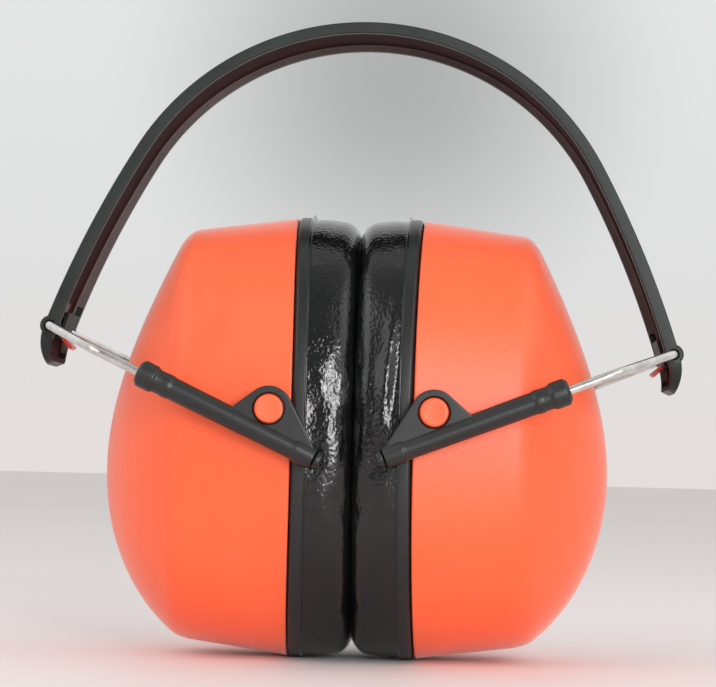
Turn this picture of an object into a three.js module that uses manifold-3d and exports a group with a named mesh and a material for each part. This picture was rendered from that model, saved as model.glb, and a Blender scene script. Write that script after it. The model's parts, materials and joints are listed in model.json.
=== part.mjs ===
// Folding hearing protection earmuffs: a sprung plastic headband, two wire yokes,
// four sliding arms and two padded cups. Millimetres, +Z up to the crown, X left to right,
// Y front to back. The cups stand on z = 0 and the whole object is centred on x = 0, y = 0.
import * as THREE from 'three';
import { mergeVertices } from 'three/addons/utils/BufferGeometryUtils.js';
import Module from 'manifold-3d';

const wasm = await Module();
wasm.setup();

// ---- driving dimensions ----
const CLEAR = 0.3; // gap between pieces that touch

// headband: a centre arc, a flatter arc down each side and a tab that curls in under each hole,
// in a frame at the wire holes' midpoint
const BAND_WIDTH = 30;
const CROWN_RADIUS = 70.5;
const CROWN_ANGLE = 60; // degrees each side of the crown
const SIDE_RADIUS = 272;
const TAB_RADIUS = 14;
const CROWN_SHARE = 0.6; // of the way from crown to tab that the centre arc takes
const SIDE_SHARE = 0.95; // and that both arcs above the hole take
const CROWN_HEIGHT = 83.5; // of the outer line above the holes
const BAND_DEPTH_CROWN = 2.9;
const BAND_DEPTH_END = 3.7;
const DEPTH_POWER = 3; // the band thickens mostly near its ends
const BAND_DEPTH_TAB = 2.2; // and thins again from the hole to the foot of the tab
const WEB_THICKNESS = 1.1;
const FLANGE_WIDTH = 2;
const TAB_LENGTH = 10; // below the holes
const TAB_CORNER = 8;
const END_WALL = 1.4; // closes the channel under the tab
const END_CORNER = 6.5; // of the channel, inside the tab's corner
const HOLE_SPAN = 81.4; // from the middle to each hole
const BOSS_RADIUS = 2.6;
const LEG_LEAN = 19; // degrees from upright at the holes
const BAND_MIDDLE_HEIGHT = 84.4;
const BAND_ROLL = 1.3; // degrees, the right end lower
const BAND_SLICE = 20; // spare length on tools that cut or trim the band

// the wire's seat at each band end, measured up the leg and outwards from the hole
const SNAP_GAP = 1.8; // the groove that the wire is pressed in through
const SEAT_CUT = -1.2; // the boss is cut flat here inside the channel, where the clip lies
const SLOT_LOW = 3.4; // the slot in the web that the wire clip hooks into
const SLOT_HIGH = 7.6;
const SLOT_HALF_WIDTH = 5.5;
const CLIP_LOW = -2.4;
const CLIP_HIGH = 5;
const CLIP_INSIDE = -2.5;
const CLIP_THICKNESS = 1;
const CLIP_HALF_WIDTH = 7;
const TONGUE_HEIGHT = 1.3;
const TONGUE_TIP = 1;
const FINGER_HALF_WIDTH = 3; // the clip's finger, which lifts it out
const FINGER = [[-2, -1.2], [-2, -2.4], [-5.5, -4.1], [-6.1, -3]]; // outwards, up the leg
const POCKET = { low: 5.1, high: 7.5, inside: -2, outside: -0.4, depth: 1 }; // in each flange

// wire yoke
const WIRE_RADIUS = 1.15;
const WIRE_SIDES = 8;
const WIRE_STEPS = 52;
const BASE_HALF = 17.5; // half the straight base in the band's boss
const ARM_HALF_SPACING = 47; // arm axes each side of the middle
const SPLAY_LENGTH = 17.5;
const BEND = 4;
const LEG_LENGTH = 63;
const YOKE_ANGLE = { left: 24.9, right: 21.4 }; // degrees below level

// arms, measured along the legs from the hole
const ARM_START = 30.5;
const ARM_END = 79;
const ARM_RADIUS = 2.7;
const ARM_BORE = 1.5; // radius, as of the band's holes
const ARM_SIDES = 12;
const COLLAR_RADIUS = 3.45;
const COLLAR_LENGTH = 5;
const COLLAR_CHAMFER = 1;
const RING_FROM_COLLAR = 2.2; // a thin ring round the tube, past the collar
const RING_LENGTH = 1.9;
const RING_RAMP = 0.3;
const RING_PROUD = 0.35;
const TIP_LENGTH = 5.5; // the slightly thicker end that takes the plug
const TIP_RAMP = 0.4;
const TIP_PROUD = 0.3;
const PIN_ALONG = 63.7;
const PIN_RISE = 6.2;
const LUG_RADIUS = 5.7;
const LUG_OUTBOARD = 8.7; // how far the lug's foot runs each way from the pin
const LUG_INBOARD = 14.9;
const LUG_THICKNESS = 3.4;
const LUG_FOOT_RISE = 2; // where the lug's sides meet the tube, above its axis
const LUG_SINK = 1; // how far the lug reaches below the tube's axis
const PLUG_LENGTH = 1.7;
const PLUG_RADIUS = 2.3;
const PLUG_SHANK = 5;
const PLUG_CHAMFER = 0.5;

// cups, measured out from the plane where the two cushions meet
const RIM_OUT = 16.7;
const CREASE_OUT = 45.5;
const DOME_OUT = 66.3;
const RIM_HALF_HEIGHT = 57.75;
const RIM_HALF_WIDTH = 43;
const OUTLINE_POWER = 2.35;
const DRAFT = 3.8; // how much the wall draws in from rim to crease
const DOME_POWER = 1.95;
const DOME_DROP = 9.2; // the dome's fullest point lies below the rim's middle
const DROP_POWER = 2.6;
const SADDLE = 1.5; // the rim bows towards the other cup at front and back
const SHELL_WALL = 2.5;
const CREASE_FOLLOW = 0.35; // how far an inner crease drops for each unit of inset
const DOME_SHARES = [0.9, 0.78, 0.62, 0.45, 0.25, 0]; // of the way from the middle to the crease
const LINER_THICKNESS = 9;
const LINER_GAP = 0.5;
const LINER_SETBACK = 4.2;
const PIN_OUT = 20.4;
const PIN_ABOVE_MIDDLE = 5.9; // above the middle of the rim
const STUD_ROOT = 41.25; // inside the shell's wall
const STUD_RADIUS = 3.5;
const STUD_TIP = 49.4;
const SHOULDER_RADIUS = 4.7;
const OUTLINE_STEPS = 32;

// cushions
const PLATE_BACK = 16.4;
const PLATE_FRONT = 13;
const PLATE_PROUD = 0.2;
const SPIGOT_INSET = 3.4;
const SPIGOT_THICKNESS = 1.7;
const SPIGOT_OUT = 19.6;
const PAD_FACE = 0.15;
const PAD_BACK = 12.7;
const PAD_WIDTH = 21;
const PAD_ROUNDING = 5;
const PAD_TIGHTEN = 0.6; // how much smaller the rounding is for each unit of inset
const PAD_PROUD = 0.1; // beyond the rim's outline
const PAD_ARC_STEPS = 3;
const SKIN_THICKNESS = 1;

const COLOURS = {
  orange: new THREE.MeshStandardMaterial({ color: 0xff5a2e, roughness: 0.42 }),
  black: new THREE.MeshStandardMaterial({ color: 0x2b2f2e, roughness: 0.45 }),
  vinyl: new THREE.MeshStandardMaterial({ color: 0x16181a, roughness: 0.3 }),
  steel: new THREE.MeshStandardMaterial({ color: 0xc9ccca, roughness: 0.25, metalness: 1 }),
  foam: new THREE.MeshStandardMaterial({ color: 0x3a3c3e, roughness: 0.95 }),
};

const rad = THREE.MathUtils.degToRad;

// ---- solids ----

// A closed geometry with shared vertices, no flat triangles and its faces pointing out.
function closed(geometry) {
  geometry.deleteAttribute('normal');
  geometry.deleteAttribute('uv');
  const merged = mergeVertices(geometry, 1e-4);
  const index = merged.index.array;
  const at = [0, 1, 2].map(() => new THREE.Vector3());
  const kept = [];
  let volume = 0;
  for (let i = 0; i < index.length; i += 3) {
    const [a, b, c] = index.slice(i, i + 3);
    if (a === b || b === c || c === a) continue;
    [a, b, c].forEach((v, n) => at[n].fromBufferAttribute(merged.attributes.position, v));
    volume += at[0].dot(at[1].clone().cross(at[2]));
    kept.push(a, b, c);
  }
  if (volume < 0) kept.reverse();
  merged.setIndex(kept);
  return merged;
}

function toSolid(geometry) {
  const shape = closed(geometry);
  const vertProperties = new Float32Array(shape.attributes.position.array);
  const triVerts = new Uint32Array(shape.index.array);
  return new wasm.Manifold(new wasm.Mesh({ numProp: 3, vertProperties, triVerts }));
}

function toGeometry(solid) {
  const mesh = solid.getMesh();
  const geometry = new THREE.BufferGeometry();
  geometry.setAttribute('position', new THREE.BufferAttribute(mesh.vertProperties, 3));
  geometry.setIndex(new THREE.BufferAttribute(mesh.triVerts, 1));
  return geometry;
}

function cylinderAlongY(radius, from, to, x, z, sides = 24) {
  const geometry = new THREE.CylinderGeometry(radius, radius, to - from, sides);
  return geometry.translate(x, (from + to) / 2, z);
}

function box(x0, x1, y0, y1, z0, z1) {
  const geometry = new THREE.BoxGeometry(x1 - x0, y1 - y0, z1 - z0);
  return geometry.translate((x0 + x1) / 2, (y0 + y1) / 2, (z0 + z1) / 2);
}

// An outline in the X-Z plane, extruded along Y between two depths.
function slab(points, from, to) {
  const shape = new THREE.Shape(points.map(([x, z]) => new THREE.Vector2(x, z)));
  const geometry = new THREE.ExtrudeGeometry(shape, { depth: to - from, bevelEnabled: false });
  return geometry.rotateX(Math.PI / 2).translate(0, to, 0);
}

function mesh(name, geometry, material) {
  const piece = new THREE.Mesh(geometry, material);
  piece.name = name;
  return piece;
}

// ---- headband ----

// Stations down the band's outer line from left to right: position, outward direction, and
// the share of the way from the crown to the tab.
function bandStations() {
  const crownSteps = 12;
  const sideSteps = 5;
  const tabSteps = 6;
  const bend = rad(CROWN_ANGLE);
  const crown = { x: 0, z: CROWN_HEIGHT - CROWN_RADIUS };
  const side = arcCentre(crown, CROWN_RADIUS - SIDE_RADIUS, bend);
  const hole = Math.acos(-side.z / SIDE_RADIUS);
  const tab = arcCentre(side, SIDE_RADIUS - TAB_RADIUS, hole);
  const last = Math.acos((-TAB_LENGTH - tab.z) / TAB_RADIUS);
  const start = 1 / (2 * crownSteps + 1); // half a step, so that a level facet spans the crown
  const first = { turn: bend * start, share: CROWN_SHARE * start };
  const shoulder = { turn: bend, share: CROWN_SHARE };
  const atHole = { turn: hole, share: SIDE_SHARE };
  const right = [
    ...arcStations(crown, CROWN_RADIUS, first, shoulder, crownSteps),
    ...arcStations(side, SIDE_RADIUS, shoulder, atHole, sideSteps).slice(1),
    ...arcStations(tab, TAB_RADIUS, atHole, { turn: last, share: 1 }, tabSteps).slice(1),
  ];
  const left = right.map((s) => ({ ...s, x: -s.x, turn: -s.turn }));
  return [...left.reverse(), ...right];
}

// The centre of an arc that leaves another one smoothly at a turn from the vertical.
function arcCentre(centre, radiusChange, turn) {
  return {
    x: centre.x + radiusChange * Math.sin(turn),
    z: centre.z + radiusChange * Math.cos(turn),
  };
}

function arcStations(centre, radius, from, to, steps) {
  const stations = [];
  for (let i = 0; i <= steps; i++) {
    const turn = from.turn + ((to.turn - from.turn) * i) / steps;
    const share = from.share + ((to.share - from.share) * i) / steps;
    stations.push({ ...arcCentre(centre, radius, turn), turn, share });
  }
  return stations;
}

// The region between two depths below the outer line.
function bandRegion(outerDepth, innerDepth) {
  const line = (depth) =>
    bandStations().map((s) => {
      const d = depth(s.share);
      return [s.x - d * Math.sin(s.turn), s.z - d * Math.cos(s.turn)];
    });
  return [...line(outerDepth), ...line(innerDepth).reverse()];
}

function bandDepth(share) {
  const below = Math.max(0, (share - SIDE_SHARE) / (1 - SIDE_SHARE)); // the hole, down the tab
  const thicker = (BAND_DEPTH_END - BAND_DEPTH_CROWN) * Math.min(share, SIDE_SHARE) ** DEPTH_POWER;
  const depth = BAND_DEPTH_CROWN + thicker;
  return depth + (BAND_DEPTH_TAB - depth) * below;
}

// A box in the frame of one band end: u up the leg and v outwards, both from the wire's hole.
function endBox(side, u0, u1, v0, v1, y0, y1) {
  const geometry = box(v0, v1, y0, y1, u0, u1).rotateY(-rad(LEG_LEAN));
  geometry.translate(HOLE_SPAN, 0, 0);
  return side > 0 ? geometry : geometry.rotateZ(Math.PI);
}

// The band's outline seen from the side, with the lower corners rounded.
function sideOutline(half, end, corner) {
  const top = CROWN_HEIGHT + 1;
  const y = half - corner;
  const z = corner - end;
  const shape = new THREE.Shape();
  shape.moveTo(-half, top);
  shape.lineTo(-half, z);
  shape.absarc(-y, z, corner, Math.PI, 1.5 * Math.PI);
  shape.absarc(y, z, corner, 1.5 * Math.PI, 2 * Math.PI);
  shape.lineTo(half, top);
  const length = 2 * HOLE_SPAN + BAND_SLICE;
  const options = { depth: length, bevelEnabled: false, curveSegments: 5 };
  const geometry = new THREE.ExtrudeGeometry(shape, options);
  geometry.translate(0, 0, -length / 2);
  return toSolid(geometry.rotateX(Math.PI / 2).rotateZ(Math.PI / 2));
}

// The wire's hole, the groove it is pressed in through, the clip's slot and the flange pockets.
function cutSeat(band, side, half, channel) {
  const reach = half + 1;
  const gap = SNAP_GAP / 2;
  const inside = -BOSS_RADIUS - 3;
  const pocket = channel + POCKET.depth;
  const slot = SLOT_HALF_WIDTH;
  const tools = [
    cylinderAlongY(ARM_BORE, -reach, reach, side * HOLE_SPAN, 0, 16),
    endBox(side, -gap, gap, inside, 0, -reach, reach),
    endBox(side, -BOSS_RADIUS, BOSS_RADIUS, inside, SEAT_CUT, -channel, channel),
    endBox(side, SLOT_LOW, SLOT_HIGH, -WEB_THICKNESS, BOSS_RADIUS, -slot, slot),
    endBox(side, POCKET.low, POCKET.high, POCKET.inside, POCKET.outside, -pocket, pocket),
  ];
  for (const tool of tools) {
    band = band.subtract(toSolid(tool));
  }
  return band;
}

function headband() {
  const half = BAND_WIDTH / 2;
  const channel = half - FLANGE_WIDTH;
  const webInside = () => WEB_THICKNESS;
  const beyondFlanges = () => BAND_DEPTH_END + 3;
  const full = toSolid(slab(bandRegion(() => 0, bandDepth), -half, half));
  const hollow = toSolid(slab(bandRegion(webInside, beyondFlanges), -channel, channel));
  const channelOutline = sideOutline(channel, TAB_LENGTH - END_WALL, END_CORNER);
  let band = full.subtract(hollow.intersect(channelOutline));
  for (const side of [1, -1]) {
    const boss = cylinderAlongY(BOSS_RADIUS, -half, half, side * HOLE_SPAN, 0);
    band = band.add(toSolid(boss));
  }
  band = band.intersect(sideOutline(half, TAB_LENGTH, TAB_CORNER));
  for (const side of [1, -1]) {
    band = cutSeat(band, side, half, channel);
  }
  return mesh('headband', toGeometry(band), COLOURS.black);
}

// The keeper that closes the wire's groove, hooked into the slot in the band's web.
function wireClip(name) {
  const outside = CLIP_INSIDE + CLIP_THICKNESS;
  const y = CLIP_HALF_WIDTH;
  const tongueY = SLOT_HALF_WIDTH - CLEAR;
  const plate = toSolid(box(CLIP_INSIDE, outside, -y, y, CLIP_LOW, CLIP_HIGH));
  const tongueLow = CLIP_HIGH - TONGUE_HEIGHT;
  const tongue = toSolid(box(CLIP_INSIDE, TONGUE_TIP, -tongueY, tongueY, tongueLow, CLIP_HIGH));
  const finger = toSolid(slab(FINGER, -FINGER_HALF_WIDTH, FINGER_HALF_WIDTH));
  const solid = plate.add(tongue).add(finger);
  const piece = mesh(name, toGeometry(solid), COLOURS.black);
  piece.rotation.y = -rad(LEG_LEAN);
  return piece;
}

// ---- wire yoke, in a frame at the hole with -X along the legs ----

function wirePath() {
  const corners = [
    [-LEG_LENGTH, ARM_HALF_SPACING],
    [-SPLAY_LENGTH, ARM_HALF_SPACING],
    [0, BASE_HALF],
  ];
  const front = corners.map(([x, y]) => new THREE.Vector3(x, -y, 0));
  const back = corners.map(([x, y]) => new THREE.Vector3(x, y, 0)).reverse();
  const points = [...front, ...back];
  const path = new THREE.CurvePath();
  let from = points[0];
  for (let i = 1; i < points.length - 1; i++) {
    const into = points[i].clone().sub(points[i - 1]).setLength(BEND);
    const out = points[i + 1].clone().sub(points[i]).setLength(BEND);
    const start = points[i].clone().sub(into);
    const end = points[i].clone().add(out);
    path.add(new THREE.LineCurve3(from, start));
    path.add(new THREE.QuadraticBezierCurve3(start, points[i], end));
    from = end;
  }
  path.add(new THREE.LineCurve3(from, points[points.length - 1]));
  return path;
}

function yokeWire(name) {
  const section = new THREE.Shape();
  for (let i = 0; i < WIRE_SIDES; i++) {
    const turn = (2 * Math.PI * i) / WIRE_SIDES;
    const corner = [WIRE_RADIUS * Math.cos(turn), WIRE_RADIUS * Math.sin(turn)];
    if (i === 0) section.moveTo(...corner);
    else section.lineTo(...corner);
  }
  const options = { steps: WIRE_STEPS, extrudePath: wirePath(), bevelEnabled: false };
  return mesh(name, closed(new THREE.ExtrudeGeometry(section, options)), COLOURS.steel);
}

// ---- arms, in the same frame ----

// A lathe profile of [distance along the leg, radius] turned about the leg's axis.
function turned(profile, y, sides) {
  const points = profile.map(([along, radius]) => new THREE.Vector2(radius, along));
  const geometry = new THREE.LatheGeometry(points, sides);
  return geometry.rotateZ(Math.PI / 2).translate(0, y, 0);
}

function tubeProfile() {
  const collarEnd = ARM_START + COLLAR_LENGTH;
  const ringStart = collarEnd + RING_FROM_COLLAR;
  const ringEnd = ringStart + RING_LENGTH;
  const tip = ARM_END - TIP_LENGTH;
  return [
    [ARM_START, ARM_BORE],
    [ARM_START, COLLAR_RADIUS - COLLAR_CHAMFER],
    [ARM_START + COLLAR_CHAMFER, COLLAR_RADIUS],
    [collarEnd - COLLAR_CHAMFER / 2, COLLAR_RADIUS],
    [collarEnd, ARM_RADIUS],
    [ringStart, ARM_RADIUS],
    [ringStart + RING_RAMP, ARM_RADIUS + RING_PROUD],
    [ringEnd - RING_RAMP, ARM_RADIUS + RING_PROUD],
    [ringEnd, ARM_RADIUS],
    [tip, ARM_RADIUS],
    [tip + TIP_RAMP, ARM_RADIUS + TIP_PROUD],
    [ARM_END, ARM_RADIUS + TIP_PROUD / 2],
    [ARM_END, ARM_BORE],
    [ARM_START, ARM_BORE],
  ];
}

// The lug's outline: a ring round the pin with two tangents down to the tube.
function lugOutline() {
  const pin = new THREE.Vector2(-PIN_ALONG, PIN_RISE);
  const foot = (reach) => new THREE.Vector2(-PIN_ALONG + reach, LUG_FOOT_RISE);
  const tangent = (point, sign) => {
    const gap = point.clone().sub(pin);
    return gap.angle() + sign * Math.acos(LUG_RADIUS / gap.length());
  };
  const outboard = foot(LUG_OUTBOARD);
  const inboard = foot(-LUG_INBOARD);
  const from = tangent(outboard, 1);
  const to = tangent(inboard, -1);
  const steps = 12;
  const sweep = (to - from + 4 * Math.PI) % (2 * Math.PI);
  const points = [[inboard.x, -LUG_SINK], [outboard.x, -LUG_SINK], [outboard.x, outboard.y]];
  for (let i = 0; i <= steps; i++) {
    const turn = from + (sweep * i) / steps;
    points.push([pin.x + LUG_RADIUS * Math.cos(turn), pin.y + LUG_RADIUS * Math.sin(turn)]);
  }
  points.push([inboard.x, inboard.y]);
  return points;
}

function arm(name, y) {
  const half = LUG_THICKNESS / 2;
  const from = ARM_START - 1;
  const to = ARM_END + 1;
  const boreProfile = [[from, 0], [from, ARM_BORE], [to, ARM_BORE], [to, 0]];
  const tube = toSolid(turned(tubeProfile(), y, ARM_SIDES));
  const bore = toSolid(turned(boreProfile, y, ARM_SIDES));
  const lug = toSolid(slab(lugOutline(), y - half, y + half));
  const eyeRadius = STUD_RADIUS + CLEAR;
  const eye = toSolid(cylinderAlongY(eyeRadius, y - 5, y + 5, -PIN_ALONG, PIN_RISE));
  const solid = tube.add(lug).subtract(bore).subtract(eye);
  return mesh(name, toGeometry(solid), COLOURS.black);
}

function armPlug(name, y) {
  const head = ARM_END + CLEAR;
  const tip = head + PLUG_LENGTH;
  const shank = head - PLUG_SHANK;
  const shankRadius = ARM_BORE - CLEAR;
  const profile = [
    [shank, 0],
    [shank, shankRadius],
    [head, shankRadius],
    [head, PLUG_RADIUS],
    [tip - PLUG_CHAMFER, PLUG_RADIUS],
    [tip, PLUG_RADIUS - PLUG_CHAMFER],
    [tip, 0],
  ];
  return mesh(name, closed(turned(profile, y, ARM_SIDES)), COLOURS.black);
}

// ---- cups, in a frame at the pin with +X away from the wearer's head ----

// The rim's rounded oval: a point and its outward direction at an angle round it.
function ovalPoint(angle, halfWidth, halfHeight) {
  const c = Math.cos(angle);
  const s = Math.sin(angle);
  const y = Math.sign(c) * Math.abs(c) ** (2 / OUTLINE_POWER);
  const z = Math.sign(s) * Math.abs(s) ** (2 / OUTLINE_POWER);
  const slopeY = (Math.sign(c) * Math.abs(y) ** (OUTLINE_POWER - 1)) / halfWidth;
  const slopeZ = (Math.sign(s) * Math.abs(z) ** (OUTLINE_POWER - 1)) / halfHeight;
  const slope = Math.hypot(slopeY, slopeZ);
  return { y: y * halfWidth, z: z * halfHeight, outY: slopeY / slope, outZ: slopeZ / slope };
}

// Turns a lathe of [size, out] points into a cup shape: place(angle, size, out) gives x, y, z.
function ovalLathe(profile, place) {
  const points = profile.map(([size, out]) => new THREE.Vector2(size, out));
  const geometry = new THREE.LatheGeometry(points, OUTLINE_STEPS);
  const position = geometry.attributes.position;
  for (let i = 0; i < position.count; i++) {
    const size = Math.hypot(position.getX(i), position.getZ(i));
    const angle = Math.atan2(position.getX(i), position.getZ(i));
    const { out, y, z } = place(angle, size, position.getY(i));
    position.setXYZ(i, out - PIN_OUT, y, z - PIN_ABOVE_MIDDLE);
  }
  return geometry;
}

// The domed body of the cup, drawn in by an inset all over, from a mouth plane to the dome.
function domedBody(inset, mouth) {
  const lean = DRAFT / (CREASE_OUT - RIM_OUT);
  const narrow = RIM_HALF_HEIGHT - RIM_HALF_WIDTH;
  const crease = RIM_HALF_HEIGHT - DRAFT - inset;
  const creaseOut = CREASE_OUT - CREASE_FOLLOW * inset;
  const dome = DOME_OUT - inset - creaseOut;
  const mouthSize = RIM_HALF_HEIGHT - inset - lean * (mouth - RIM_OUT);
  const profile = [[0, mouth], [mouthSize, mouth], [crease, creaseOut]];
  for (const share of DOME_SHARES) {
    profile.push([crease * share, creaseOut + dome * (1 - share ** DOME_POWER)]);
  }
  return ovalLathe(profile, (angle, size, out) => {
    const share = Math.min(1, size / crease);
    const drop = DOME_DROP * (1 - share ** DROP_POWER);
    const halfWidth = size > crease ? size - narrow : (size * (crease - narrow)) / crease;
    const { y, z } = ovalPoint(angle, halfWidth, size);
    const bow = SADDLE * (y / RIM_HALF_WIDTH) ** 2;
    return { out: out - bow, y, z: z - drop };
  });
}

// A ring that follows the rim, from a profile of [inset from the rim's outline, out].
function rimRing(profile) {
  const base = 100; // keeps the lathe's radii positive
  const points = profile.map(([inset, out]) => [base - inset, out]);
  return ovalLathe([...points, points[0]], (angle, size, out) => {
    const inset = base - size;
    const oval = ovalPoint(angle, RIM_HALF_WIDTH, RIM_HALF_HEIGHT);
    const y = oval.y - inset * oval.outY;
    const z = oval.z - inset * oval.outZ;
    const bow = SADDLE * (y / RIM_HALF_WIDTH) ** 2 * Math.min(1, out / RIM_OUT);
    return { out: out - bow, y, z };
  });
}

function cupShell(name) {
  const outer = toSolid(domedBody(0, RIM_OUT));
  const inner = toSolid(domedBody(SHELL_WALL, RIM_OUT - 5));
  const shoulder = ARM_HALF_SPACING - ARM_RADIUS - CLEAR;
  const turnings = [[SHOULDER_RADIUS, shoulder], [STUD_RADIUS, STUD_TIP]];
  let shell = outer.subtract(inner);
  for (const side of [1, -1]) {
    for (const [radius, tip] of turnings) {
      const [y0, y1] = [side * STUD_ROOT, side * tip].sort((a, b) => a - b);
      shell = shell.add(toSolid(cylinderAlongY(radius, y0, y1, 0, 0, 20)));
    }
  }
  return mesh(name, toGeometry(shell), COLOURS.orange);
}

function cupLiner(name) {
  const gap = SHELL_WALL + LINER_GAP;
  const outer = toSolid(domedBody(gap, RIM_OUT + LINER_SETBACK));
  const inner = toSolid(domedBody(gap + LINER_THICKNESS, RIM_OUT - 2));
  return mesh(name, toGeometry(outer.subtract(inner)), COLOURS.foam);
}

function cushionPlate(name) {
  const spigotEnd = SPIGOT_INSET + SPIGOT_THICKNESS;
  const profile = [
    [-PLATE_PROUD, PLATE_FRONT],
    [-PLATE_PROUD, PLATE_BACK],
    [SPIGOT_INSET, PLATE_BACK],
    [SPIGOT_INSET, SPIGOT_OUT],
    [spigotEnd, SPIGOT_OUT],
    [spigotEnd, PLATE_BACK],
    [PAD_WIDTH, PLATE_BACK],
    [PAD_WIDTH, PLATE_FRONT],
  ];
  return mesh(name, closed(rimRing(profile)), COLOURS.black);
}

// The pad's section between its back and its face, drawn in by an inset, from the outer back
// corner round the face to the inner back corner.
function padSection(inset) {
  const steps = PAD_ARC_STEPS;
  const radius = PAD_ROUNDING - PAD_TIGHTEN * inset;
  const outer = inset - PAD_PROUD;
  const inner = PAD_WIDTH - inset;
  const face = PAD_FACE + inset;
  const points = [[outer, PAD_BACK]];
  const corner = (i) => {
    const turn = ((Math.PI / 2) * i) / steps;
    return [radius * (1 - Math.cos(turn)), radius * (1 - Math.sin(turn))];
  };
  for (let i = 0; i <= steps; i++) {
    const [across, up] = corner(i);
    points.push([outer + across, face + up]);
  }
  for (let i = steps; i >= 0; i--) {
    const [across, up] = corner(i);
    points.push([inner - across, face + up]);
  }
  points.push([inner, PAD_BACK]);
  return points;
}

function cushionSkin(name) {
  const profile = [...padSection(0), ...padSection(SKIN_THICKNESS).reverse()];
  return mesh(name, closed(rimRing(profile)), COLOURS.vinyl);
}

function cushionFoam(name) {
  return mesh(name, closed(rimRing(padSection(SKIN_THICKNESS + CLEAR))), COLOURS.foam);
}

// ---- assembly ----

// One side, built as the right-hand one; turning it half round makes the left-hand one.
function sideAssembly(side, sign) {
  const name = (part) => `${side}_${part}`;
  const atHole = new THREE.Group();
  atHole.position.x = sign * HOLE_SPAN;
  atHole.rotation.z = sign > 0 ? 0 : Math.PI;
  atHole.add(wireClip(name('wire_clip')));

  const yoke = new THREE.Group();
  yoke.rotation.y = -rad(YOKE_ANGLE[side] + sign * BAND_ROLL);
  yoke.add(yokeWire(name('yoke_wire')));
  atHole.add(yoke);

  const arms = new THREE.Group();
  for (const [place, y] of [['front', -ARM_HALF_SPACING], ['rear', ARM_HALF_SPACING]]) {
    arms.add(arm(name(`${place}_arm`), sign * y));
    arms.add(armPlug(name(`${place}_arm_plug`), sign * y));
  }
  yoke.add(arms);

  const cup = new THREE.Group();
  cup.position.set(-PIN_ALONG, 0, PIN_RISE);
  cup.rotation.y = rad(YOKE_ANGLE[side]);
  cup.add(cupShell(name('cup_shell')));
  cup.add(cupLiner(name('cup_liner')));
  cup.add(cushionPlate(name('cushion_plate')));
  cup.add(cushionSkin(name('cushion_skin')));
  cup.add(cushionFoam(name('cushion_foam')));
  arms.add(cup);
  return atHole;
}

function earmuffs() {
  const band = new THREE.Group();
  band.position.z = BAND_MIDDLE_HEIGHT;
  band.rotation.y = rad(BAND_ROLL);
  band.add(headband());
  band.add(sideAssembly('right', 1));
  band.add(sideAssembly('left', -1));

  const whole = new THREE.Group();
  whole.add(band);
  whole.updateMatrixWorld(true);
  const bounds = new THREE.Box3().setFromObject(whole, true);
  const middle = bounds.getCenter(new THREE.Vector3());
  whole.position.set(-middle.x, -middle.y, -bounds.min.z);
  whole.updateMatrixWorld(true);
  return whole;
}

export default earmuffs();
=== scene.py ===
"""Folding earmuffs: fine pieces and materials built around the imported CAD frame, in metres."""
import json
import math

import bmesh
import bpy
import numpy as np
from mathutils import Matrix, Vector


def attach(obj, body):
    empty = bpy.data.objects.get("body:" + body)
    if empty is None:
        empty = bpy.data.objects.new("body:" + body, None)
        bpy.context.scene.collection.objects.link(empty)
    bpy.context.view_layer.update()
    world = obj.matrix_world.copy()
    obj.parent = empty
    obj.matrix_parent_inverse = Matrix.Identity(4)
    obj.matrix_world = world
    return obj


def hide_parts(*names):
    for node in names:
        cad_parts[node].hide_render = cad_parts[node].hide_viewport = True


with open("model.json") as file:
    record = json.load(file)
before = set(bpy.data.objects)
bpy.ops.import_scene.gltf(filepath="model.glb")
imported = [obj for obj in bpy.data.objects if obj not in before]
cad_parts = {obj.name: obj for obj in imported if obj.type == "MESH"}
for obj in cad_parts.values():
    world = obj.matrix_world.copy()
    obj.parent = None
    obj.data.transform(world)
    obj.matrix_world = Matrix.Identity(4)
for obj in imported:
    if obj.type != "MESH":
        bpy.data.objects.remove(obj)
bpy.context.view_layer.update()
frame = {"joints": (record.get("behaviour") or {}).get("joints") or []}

MM = 0.001
SCENE = bpy.context.scene
SIDES = {"right": 1, "left": -1}

# ---- dimensions as in the CAD source: millimetres, degrees, and plain shares and powers ----
CLEAR = 0.3  # the gap between fitted parts

BAND_WIDTH = 30
CROWN_RADIUS, CROWN_ANGLE, CROWN_HEIGHT = 70.5, 60, 83.5
SIDE_RADIUS, TAB_RADIUS = 272, 14
CROWN_SHARE, SIDE_SHARE = 0.6, 0.95
BAND_DEPTH_CROWN, BAND_DEPTH_END, BAND_DEPTH_TAB, DEPTH_POWER = 2.9, 3.7, 2.2, 3
WEB_THICKNESS, FLANGE_WIDTH = 1.1, 2
TAB_LENGTH, TAB_CORNER, END_WALL, END_CORNER = 10, 8, 1.4, 6.5
BOSS_RADIUS, LEG_LEAN = 2.6, 19

SNAP_GAP, SEAT_CUT = 1.8, -1.2
SLOT_LOW, SLOT_HIGH, SLOT_HALF_WIDTH = 3.4, 7.6, 5.5
CLIP_LOW, CLIP_HIGH, CLIP_INSIDE, CLIP_THICKNESS = -2.4, 5, -2.5, 1
TONGUE_HEIGHT, TONGUE_TIP = 1.3, 1
CLIP_HALF_WIDTH, FINGER_HALF_WIDTH = 7, 3
FINGER = [(-2, -1.2), (-2, -2.4), (-5.5, -4.1), (-6.1, -3)]
POCKET_LOW, POCKET_HIGH, POCKET_INSIDE, POCKET_OUTSIDE, POCKET_DEPTH = 5.1, 7.5, -2, -0.4, 1

WIRE_RADIUS, BASE_HALF, ARM_HALF_SPACING = 1.15, 17.5, 47
SPLAY_LENGTH, BEND, LEG_LENGTH = 17.5, 4, 63

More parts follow.
